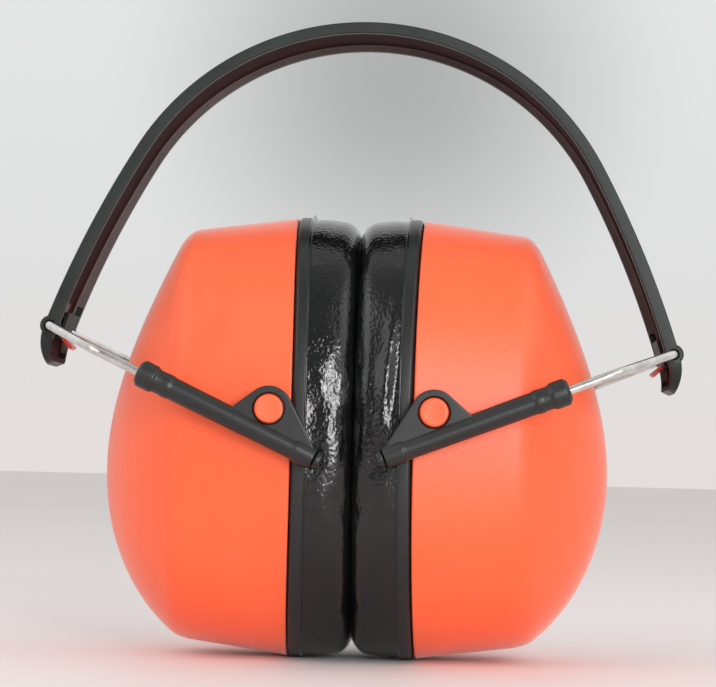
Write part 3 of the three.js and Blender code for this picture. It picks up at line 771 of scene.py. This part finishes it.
def wire(side):
    line = np.array(wire_points())
    points = []
    for i, at in enumerate(line):
        ahead = line[min(i + 1, len(line) - 1)] - line[max(i - 1, 0)]
        ahead /= np.linalg.norm(ahead)
        across = np.cross((0, 0, 1), ahead)
        for turn in angles(WIRE_SIDES):
            offset = across * math.cos(turn) + np.array((0, 0, 1)) * math.sin(turn)
            points.append(at + WIRE_RADIUS * offset)
    faces = capped_faces(len(line), WIRE_SIDES)
    piece = build(f"{side}_yoke", points, faces, yoke_frame(side))
    shade_by_angle(piece, WIRE_SHARP)
    return dress(piece, f"{side}_yoke", [STEEL], [f"{side}_yoke_wire"])


# ---- arms ----

def along_leg(side, y):
    """The arm's own frame: X along the leg away from the hole, Z up towards the lug."""
    return yoke_frame(side) @ Matrix.Translation((0, y, 0)) @ Matrix.Rotation(math.pi, 4, "Z")


def tube_profile():
    """The arm's outside as (along, radius): its collar, its ribbed neck and its tip."""
    start, end = ARM_START, ARM_START + COLLAR_LENGTH
    return [
        (start, 0),
        (start, COLLAR_RADIUS - COLLAR_ROUNDING),
        (start + COLLAR_ROUNDING, COLLAR_RADIUS),
        (end - COLLAR_STEP, COLLAR_RADIUS),
        *((end + along, ARM_RADIUS + proud) for along, proud in NECK),
        *((ARM_END + along, ARM_RADIUS + proud) for along, proud in TIP),
        (ARM_END, 0),
    ]


def lug_outline(inset):
    """The lug seen along Y, in the arm's frame, drawn in by an inset."""
    pin = np.array((PIN_ALONG, PIN_RISE))
    radius = LUG_RADIUS - inset
    outboard, inboard = PIN_ALONG - LUG_OUTBOARD, PIN_ALONG + LUG_INBOARD
    feet = [np.array((along, LUG_FOOT_RISE)) for along in (outboard, inboard)]

    def touch(foot, sign):
        gap = foot - pin
        turn = math.atan2(gap[1], gap[0])
        return turn + sign * math.acos(LUG_RADIUS / np.linalg.norm(gap))

    start, end = touch(feet[0], -1), touch(feet[1], 1)
    sweep = (start - end) % (2 * math.pi)
    base, foot = BASE_DRAW * inset, FOOT_DRAW * inset
    points = [(inboard - base, LUG_BASE), (outboard + base, LUG_BASE)]
    points.append((outboard + foot, LUG_FOOT_RISE))
    for i in range(LUG_STEPS + 1):
        turn = start - sweep * i / LUG_STEPS
        points.append((pin[0] + radius * math.cos(turn), pin[1] + radius * math.sin(turn)))
    points.append((inboard - foot, LUG_FOOT_RISE))
    return points


def lug(side, y):
    half = LUG_THICKNESS / 2
    layers = [(-half, LUG_ROUNDING), (-half + LUG_EDGE, LUG_EDGE), (-half + LUG_ROUNDING, 0),
              (half - LUG_ROUNDING, 0), (half - LUG_EDGE, LUG_EDGE), (half, LUG_ROUNDING)]
    points = []
    for depth, inset in layers:
        points += [(x, depth, z) for x, z in lug_outline(inset)]
    faces = capped_faces(len(layers), len(points) // len(layers))
    return build("lug", points, faces, along_leg(side, y))


def arm(side, place, y):
    at = along_leg(side, y)
    profile = rounded(tube_profile(), ARM_ROUNDING, steps=2)
    piece = lathe(f"{side}_{place}_arm_fine", profile, at, ARM_SEGMENTS)
    combined(piece, lug(side, y), "UNION")
    start, end = ARM_START - BORE_PAST, ARM_END + BORE_PAST
    bore = [(start, 0), (start, ARM_BORE), (end, ARM_BORE), (end, 0)]
    combined(piece, lathe("bore", bore, at, BORE_SEGMENTS), "DIFFERENCE")
    turn = Matrix.Translation((PIN_ALONG, 0, PIN_RISE)) @ Matrix.Rotation(math.pi / 2, 4, "Z")
    combined(piece, lathe("eye", eye_profile(), at @ turn, PIVOT_SEGMENTS), "DIFFERENCE")
    shade_by_angle(piece, ARM_SHARP)
    return dress(piece, f"{side}_arms", [BLACK["arm_satin"]],
                 [f"{side}_{place}_arm"])


def eye_profile():
    """The cutter of the lug's hole for the stud, chamfered at the lug's two faces."""
    radius = STUD_RADIUS + CLEAR
    half = LUG_THICKNESS / 2
    face = half - EYE_CHAMFER
    flared = radius + EYE_FLARE
    return [(-EYE_PAST, 0), (-EYE_PAST, flared), (-half, radius + EYE_CHAMFER), (-face, radius),
            (face, radius), (half, radius + EYE_CHAMFER), (EYE_PAST, flared), (EYE_PAST, 0)]


def plug(side, place, y):
    head = ARM_END + CLEAR
    shank = ARM_BORE - CLEAR
    start, top = head - PLUG_SHANK, head + PLUG_HEAD
    profile = [(start, 0), (start, shank), (head, shank), (head, PLUG_RADIUS),
               (top, PLUG_TOP_RADIUS), (top, 0)]
    profile = rounded(profile, PLUG_ROUNDING, steps=3)
    piece = lathe(f"{side}_{place}_plug", profile, along_leg(side, y), PLUG_SEGMENTS)
    shade_by_angle(piece, PLUG_SHARP)
    names = [f"{side}_{place}_arm_plug"]
    return dress(piece, f"{side}_arms", [BLACK["arm_satin"]], names)


# ---- cups ----

def oval(angle, half_width, half_height):
    """Points of the rim's rounded oval, and the outward directions there."""
    half_width, half_height = max(half_width, 1e-6), max(half_height, 1e-6)
    c, s = np.cos(angle), np.sin(angle)
    y = np.sign(c) * np.abs(c) ** (2 / OUTLINE_POWER)
    z = np.sign(s) * np.abs(s) ** (2 / OUTLINE_POWER)
    slope_y = np.sign(c) * np.abs(y) ** (OUTLINE_POWER - 1) / half_width
    slope_z = np.sign(s) * np.abs(z) ** (OUTLINE_POWER - 1) / half_height
    slope = np.hypot(slope_y, slope_z)
    return y * half_width, z * half_height, slope_y / slope, slope_z / slope


def dome_profile(inset, mouth):
    """(size, out) from the mouth up the wall, round the crease and over the dome."""
    lean = DRAFT / (CREASE_OUT - RIM_OUT)
    crease = RIM_HALF_HEIGHT - DRAFT - inset
    crease_out = CREASE_OUT - CREASE_SETBACK * inset
    dome = DOME_OUT - inset - crease_out
    size_at = lambda out: crease + lean * (crease_out - out)
    over = lambda share: (crease * share, crease_out + dome * (1 - share ** DOME_POWER))
    soften = CREASE_SOFTENING
    before = (size_at(crease_out - soften), crease_out - soften)
    after = over(1 - soften / crease)
    curve = [np.array(point) for point in (before, (crease, crease_out), after)]
    points = [(size_at(out), out) for out in np.linspace(mouth, before[1], WALL_POINTS)]
    for t in np.linspace(0, 1, CREASE_POINTS)[1:-1]:
        points.append(tuple(bezier(*curve, t)))
    for share in np.linspace(1 - soften / crease, 0, DOME_POINTS):
        points.append(over(share))
    return points, crease


def domed_points(profile, crease, angle):
    """A grid of points round the cup, from (size, out) points. The dome's middle sits lower."""
    narrow = RIM_HALF_HEIGHT - RIM_HALF_WIDTH
    rows = []
    for size, out in profile:
        share = min(1.0, size / crease)
        drop = DOME_DROP * (1 - share ** DROP_POWER)
        half_width = size - narrow if size > crease else size * (crease - narrow) / crease
        y, z, _, _ = oval(angle, half_width, size)
        bow = SADDLE * (y / RIM_HALF_WIDTH) ** 2
        rows.append(np.stack([out - bow, y, z - drop], axis=1))
    return np.stack(rows, axis=1)


def cup_surface(name, side, points, closed):
    """A piece from a grid of points in the cup's frame, with its rows going round the rim."""
    rows, columns = points.shape[:2]
    faces = grid_faces(rows, columns, True, closed)
    return build(name, points.reshape(-1, 3), faces, cup_frame(side))


def shell(side):
    """The cup's wall, from its rounded rim lip over the dome, and the inside back to the lip."""
    angle = angles(RIM_STEPS)
    outer, crease = dome_profile(0, RIM_OUT)
    inner, inner_crease = dome_profile(SHELL_WALL, RIM_OUT)
    wide, narrow = outer[0][0], inner[0][0]
    lip = LIP_ROUNDING
    quarter = np.linspace(0, math.pi / 2, LIP_POINTS)
    edge = [(wide - lip * (1 - math.cos(t)), RIM_OUT + lip * (1 - math.sin(t)))
            for t in quarter]
    edge_inner = [(narrow + lip * (1 - math.sin(t)), RIM_OUT + lip * (1 - math.cos(t)))
                  for t in quarter]
    outer_part = domed_points(edge[::-1] + outer[1:], crease, angle)
    inner_part = domed_points(edge_inner + inner[1:], inner_crease, angle)
    points = np.concatenate([outer_part[:, ::-1], inner_part], axis=1)
    piece = cup_surface(f"{side}_shell", side, points, False)
    pivot = cup_frame(side) @ Matrix.Translation((PIN_OUT, 0, PIN_ABOVE_MIDDLE))
    for end in (1, -1):
        turned = pivot @ Matrix.Rotation(math.pi / 2 * end, 4, "Z")
        combined(piece, lathe("stud", stud_profile(), turned, PIVOT_SEGMENTS), "UNION")
    shade_by_angle(piece, SHELL_SHARP)
    return dress(piece, f"{side}_cup", [ORANGE], [f"{side}_cup_shell"])


def stud_profile():
    """The pivot stud and its shoulder, rooted in the shell's wall, with a dished tip."""
    root = RIM_HALF_WIDTH - STUD_ROOT_SHARE * SHELL_WALL
    shoulder = ARM_HALF_SPACING - ARM_RADIUS - CLEAR
    return [
        (root, 0),
        (root, SHOULDER_RADIUS),
        (shoulder - SHOULDER_CHAMFER, SHOULDER_RADIUS),
        (shoulder, SHOULDER_RADIUS - SHOULDER_CHAMFER),
        (shoulder, STUD_RADIUS),
        *((STUD_TIP + along, STUD_RADIUS + proud) for along, proud in STUD_END),
        (STUD_TIP + STUD_END[-1][0], 0),
    ]


def liner(side):
    """The damping foam inside the shell, an open bowl with a rounded mouth."""
    angle = angles(LINER_STEPS)
    gap = SHELL_WALL + LINER_GAP
    mouth = RIM_OUT + LINER_SETBACK
    outer, crease = dome_profile(gap, mouth)
    inner, inner_crease = dome_profile(gap + LINER_THICKNESS, mouth)
    points = np.concatenate([domed_points(outer, crease, angle)[:, ::-1],
                             domed_points(inner, inner_crease, angle)], axis=1)
    piece = cup_surface(f"{side}_liner", side, points, False)
    bevelled(piece, LINER_ROUNDING, 3, LINER_SHARP)
    return dress(piece, f"{side}_cup", [LINER_FOAM], [f"{side}_cup_liner"])


def ring_points(profile, count):
    """A ring that follows the rim, from (inset, out) points; rows go round, columns along."""
    angle = angles(count)
    rim_y, rim_z, out_y, out_z = oval(angle, RIM_HALF_WIDTH, RIM_HALF_HEIGHT)
    columns = []
    for inset, out in profile:
        y = rim_y - inset * out_y
        z = rim_z - inset * out_z
        bow = SADDLE * (y / RIM_HALF_WIDTH) ** 2 * min(1.0, out / RIM_OUT)
        columns.append(np.stack([out - bow, y, z], axis=1))
    return np.stack(columns, axis=1)


def ring(name, side, profile, count):
    return cup_surface(name, side, ring_points(profile, count), True)


def plate(side):
    spigot_end = SPIGOT_INSET + SPIGOT_THICKNESS
    profile = [
        (-PLATE_PROUD, PLATE_FRONT),
        (-PLATE_PROUD, PLATE_BACK - PLATE_CHAMFER_DEPTH),
        (PLATE_CHAMFER_INSET, PLATE_BACK),
        (SPIGOT_INSET, PLATE_BACK),
        (SPIGOT_INSET, SPIGOT_OUT),
        (spigot_end, SPIGOT_OUT),
        (spigot_end, PLATE_BACK),
        (PAD_WIDTH, PLATE_BACK),
        (PAD_WIDTH, PLATE_FRONT),
    ]
    profile = loop_rounded(profile, PLATE_ROUNDING, steps=2)
    piece = ring(f"{side}_plate", side, profile, RIM_STEPS)
    shade_by_angle(piece)
    names = [f"{side}_cushion_plate"]
    return dress(piece, f"{side}_cup", [BLACK["plate_satin"]], names)


def weld(side):
    """The thin bead where the pad's skin is welded to its plate, with a nib at the top."""
    middle = (PLATE_FRONT + PAD_BACK) / 2
    profile = [(WELD_INSET + WELD_RADIUS * math.cos(t), middle + WELD_RADIUS * math.sin(t))
               for t in angles(WELD_POINTS)]
    points = ring_points(profile, WELD_STEPS)
    away = np.abs(np.arange(WELD_STEPS) - WELD_STEPS / 4)
    swell = NIB_HEIGHT * np.exp(-(away / NIB_STEPS) ** 2)
    height = points[:, :, 2]
    points[:, :, 2] += swell[:, None] * (height > height.max() - NIB_ZONE)
    piece = cup_surface(f"{side}_weld", side, points, True)
    return dress(piece, f"{side}_cup", [WELD])


# ---- cushions ----

def pad_profile(inset, face, back):
    """The pad's closed section as (inset, out), from its outer back corner round its face."""
    count = PAD_POINTS
    radius = PAD_ROUNDING - 0.5 * inset
    outer, inner = inset - PAD_PROUD, PAD_WIDTH - inset
    points = [(outer, back)]
    for out in np.linspace(back - PAD_EDGE, face + radius, count["side"]):
        points.append((outer + PAD_SLOPE * (back - out), out))
    foot = points[-1][0]
    for t in np.linspace(0, math.pi / 2, count["corner"])[1:]:
        points.append((foot + radius * (1 - math.cos(t)), face + radius * (1 - math.sin(t))))
    for inset_at in np.linspace(foot + radius, inner - radius, count["face"])[1:-1]:
        points.append((inset_at, face))
    for t in np.linspace(math.pi / 2, 0, count["inner_corner"]):
        points.append((inner - radius * (1 - math.cos(t)), face + radius * (1 - math.sin(t))))
    for out in np.linspace(face + radius, back, count["inner_side"])[1:]:
        points.append((inner, out))
    for inset_at in np.linspace(inner, outer + PAD_EDGE, count["back"])[1:]:
        points.append((inset_at, back))
    return points


def creased(piece, side):
    """Raises and sinks the front of a pad along its creases."""
    mesh = piece.data
    points = points_of(mesh)
    out = np.abs(points[:, 0] / MM - cup_frame(side).translation.x)
    z = points[:, 2] / MM
    front = np.clip((-points[:, 1] / MM - CREASE_START) / CREASE_FADE, 0, 1)
    for start, end, width, height in CREASES[side]:
        start, end = np.array(start), np.array(end)
        along = end - start
        at = np.stack([out, z], axis=1) - start
        share = np.clip(at @ along / (along @ along), 0, 1)
        gap = np.linalg.norm(at - share[:, None] * along, axis=1)
        fade = np.sin(math.pi * np.clip(share, 0, 1)) ** CREASE_TAPER
        points[:, 1] -= height * MM * fade * np.exp(-(gap / width) ** 2) * front
    mesh.vertices.foreach_set("co", points.ravel())
    return piece


def inflated(piece, side):
    """Cloth simulation: the skin grows by 2 percent and is puffed up, held at its back."""
    mesh = piece.data
    start = points_of(mesh)
    middle = start.mean(axis=0)
    mesh.transform(Matrix.Scale(SIMULATION_SCALE, 4) @ Matrix.Translation(-Vector(middle)))
    fixed = piece.vertex_groups.new(name="fixed")
    origin = cup_frame(side).translation * MM
    outs = np.abs(start[:, 0] - origin.x) / MM
    for i in np.nonzero(outs > PAD_BACK - SIMULATION_HELD)[0]:
        fixed.add([int(i)], 1.0, "REPLACE")
    cloth = piece.modifiers.new("cloth", "CLOTH")
    settings = cloth.settings
    settings.quality = 6
    settings.mass = 0.4
    settings.tension_stiffness = settings.compression_stiffness = 12
    settings.shear_stiffness = 6
    settings.bending_stiffness = 1.5
    settings.air_damping = 2
    settings.use_pressure = True
    settings.uniform_pressure_force = 3.2
    settings.shrink_min = settings.shrink_max = -0.02
    settings.vertex_group_mass = "fixed"
    settings.effector_weights.gravity = 0
    cloth.collision_settings.use_collision = False
    cloth.point_cache.frame_start = 1
    cloth.point_cache.frame_end = SIMULATION_FRAMES
    for number in range(1, SIMULATION_FRAMES + 1):
        SCENE.frame_set(number)
    finished(piece)
    SCENE.frame_set(1)
    mesh = piece.data
    mesh.transform(Matrix.Translation(Vector(middle)) @ Matrix.Scale(1 / SIMULATION_SCALE, 4))
    step = (points_of(mesh) - start) * SIMULATION_SHARE
    length = np.linalg.norm(step, axis=1, keepdims=True)
    step *= np.minimum(1, SIMULATION_LIMIT * MM / np.maximum(length, 1e-9))
    moved = start + step
    mesh.vertices.foreach_set("co", moved.ravel())
    piece.vertex_groups.clear()
    return piece


def cushion(side):
    """The pad's vinyl skin: puffed up, smoothed, creased and kept off the other pad."""
    profile = pad_profile(SKIN_INSET, SKIN_FACE, PAD_BACK + SKIN_TUCK)
    piece = ring(f"{side}_cushion", side, profile, SKIN_STEPS)
    inflated(piece, side)
    smooth = piece.modifiers.new("smooth", "SUBSURF")
    smooth.levels = smooth.render_levels = 1
    finished(piece)
    creased(piece, side)
    settle(piece, side)
    names = [f"{side}_cushion_skin"]
    dress(piece, f"{side}_cup", [VINYL], names)
    return piece


def settle(piece, side):
    """Keeps the pad off the plane where the cushions meet."""
    mesh = piece.data
    sign = SIDES[side]
    origin = cup_frame(side).translation * MM
    points = points_of(mesh)
    out = (points[:, 0] - origin.x) * sign / MM
    out = np.clip(out, PAD_TOUCH, None)
    points[:, 0] = origin.x + sign * out * MM
    mesh.vertices.foreach_set("co", points.ravel())
    mesh.update()


def pad_foam(side):
    profile = pad_profile(FOAM_INSET, FOAM_INSET, PAD_BACK - FOAM_SETBACK)
    piece = ring(f"{side}_pad_foam", side, profile, FOAM_STEPS)
    names = [f"{side}_cushion_foam"]
    return dress(piece, f"{side}_cup", [PAD_FOAM], names)


# ---- stage ----

def look_at(obj, target, roll=0.0):
    """Turns a light or camera towards a target, rolled by some degrees."""
    direction = Vector(target) - obj.location
    turn = direction.to_track_quat("-Z", "Y").to_matrix().to_4x4()
    obj.rotation_euler = (turn @ Matrix.Rotation(math.radians(roll), 4, "Z")).to_euler()


def soft_light(name, place, size, power):
    data = bpy.data.lights.new(name, "AREA")
    data.shape = "RECTANGLE"
    data.size, data.size_y = size
    data.energy = power
    light = bpy.data.objects.new(name, data)
    SCENE.collection.objects.link(light)
    light.location = place
    look_at(light, LIGHT_TARGET)


def stage():
    half = FLOOR_HALF
    mesh = bpy.data.meshes.new("floor")
    corners = [(-half, -half, 0), (half, -half, 0), (half, half, 0), (-half, half, 0)]
    mesh.from_pydata(corners, [], [(0, 1, 2, 3)])
    floor = add_object("floor", mesh)
    n = Nodes("pale_sheet")
    n.set(Specular_IOR_Level=0.2)
    colour = n.fade(n.noise(scale=3, detail=2), 0.3, 0.7, SHEET_TONES)
    rough = n.spread(n.noise(scale=40, detail=2), low=0.5, high=0.65)
    floor.data.materials.append(n.wire_up(colour, rough))
    tent()
    for name, (place, size, power) in LIGHTS.items():
        soft_light(name, place, size, power)


def tent():
    """A pale light tent, darker in front of the object, with a soft shade behind the arch."""
    world = bpy.data.worlds.new("tent")
    SCENE.world = world
    world.use_nodes = True
    tree = world.node_tree
    direction = tree.nodes.new("ShaderNodeTexCoord").outputs["Generated"]

    def ranged(value, low, high, to_low, to_high, kind="LINEAR"):
        node = tree.nodes.new("ShaderNodeMapRange")
        node.interpolation_type = kind
        for key, number in (("From Min", low), ("From Max", high), ("To Min", to_low),
                            ("To Max", to_high)):
            node.inputs[key].default_value = number
        tree.links.new(value, node.inputs["Value"])
        return node.outputs["Result"]

    parts = tree.nodes.new("ShaderNodeSeparateXYZ")
    tree.links.new(direction, parts.inputs["Vector"])
    colour = tree.nodes.new("ShaderNodeValToRGB")
    stops = colour.color_ramp.elements
    lowest, *between, highest = TENT_TONES
    for stop, (place, tone) in zip(stops, (lowest, highest)):
        stop.position = place
        stop.color = (*tone, 1)
    for place, tone in between:
        stops.new(place).color = (*tone, 1)
    tree.links.new(parts.outputs["Z"], colour.inputs["Fac"])

    away = tree.nodes.new("ShaderNodeVectorMath")
    away.operation = "DISTANCE"
    away.inputs[1].default_value = SHADE_DIRECTION
    tree.links.new(direction, away.inputs[0])
    shade = ranged(away.outputs["Value"], 0.0, SHADE_REACH, SHADE_LIGHT, 1.0, "SMOOTHSTEP")
    depth = ranged(parts.outputs["Y"], TENT_FRONT, TENT_BACK, TENT_FRONT_LIGHT, 1.0)
    strength = tree.nodes.new("ShaderNodeMath")
    strength.operation = "MULTIPLY"
    tree.links.new(shade, strength.inputs[0])
    tree.links.new(depth, strength.inputs[1])
    background = tree.nodes["Background"]
    tree.links.new(colour.outputs["Color"], background.inputs["Color"])
    tree.links.new(strength.outputs["Value"], background.inputs["Strength"])


def camera():
    data = bpy.data.cameras.new("camera")
    data.lens = CAMERA_LENS
    data.sensor_width = CAMERA_SENSOR
    data.clip_start, data.clip_end = CAMERA_CLIP
    eye = bpy.data.objects.new("camera", data)
    SCENE.collection.objects.link(eye)
    eye.location = CAMERA_PLACE
    look_at(eye, CAMERA_TARGET, CAMERA_ROLL)
    SCENE.camera = eye


# ---- all of it ----

camera()
stage()
headband()
for side in SIDES:
    wire_clip(side)
    wire(side)
    for place, y in (("front", -ARM_HALF_SPACING), ("rear", ARM_HALF_SPACING)):
        arm(side, place, SIDES[side] * y)
        plug(side, place, SIDES[side] * y)
    shell(side)
    liner(side)
    plate(side)
    weld(side)
    pad_foam(side)
    cushion(side)

SCENE.view_settings.view_transform = "Standard"
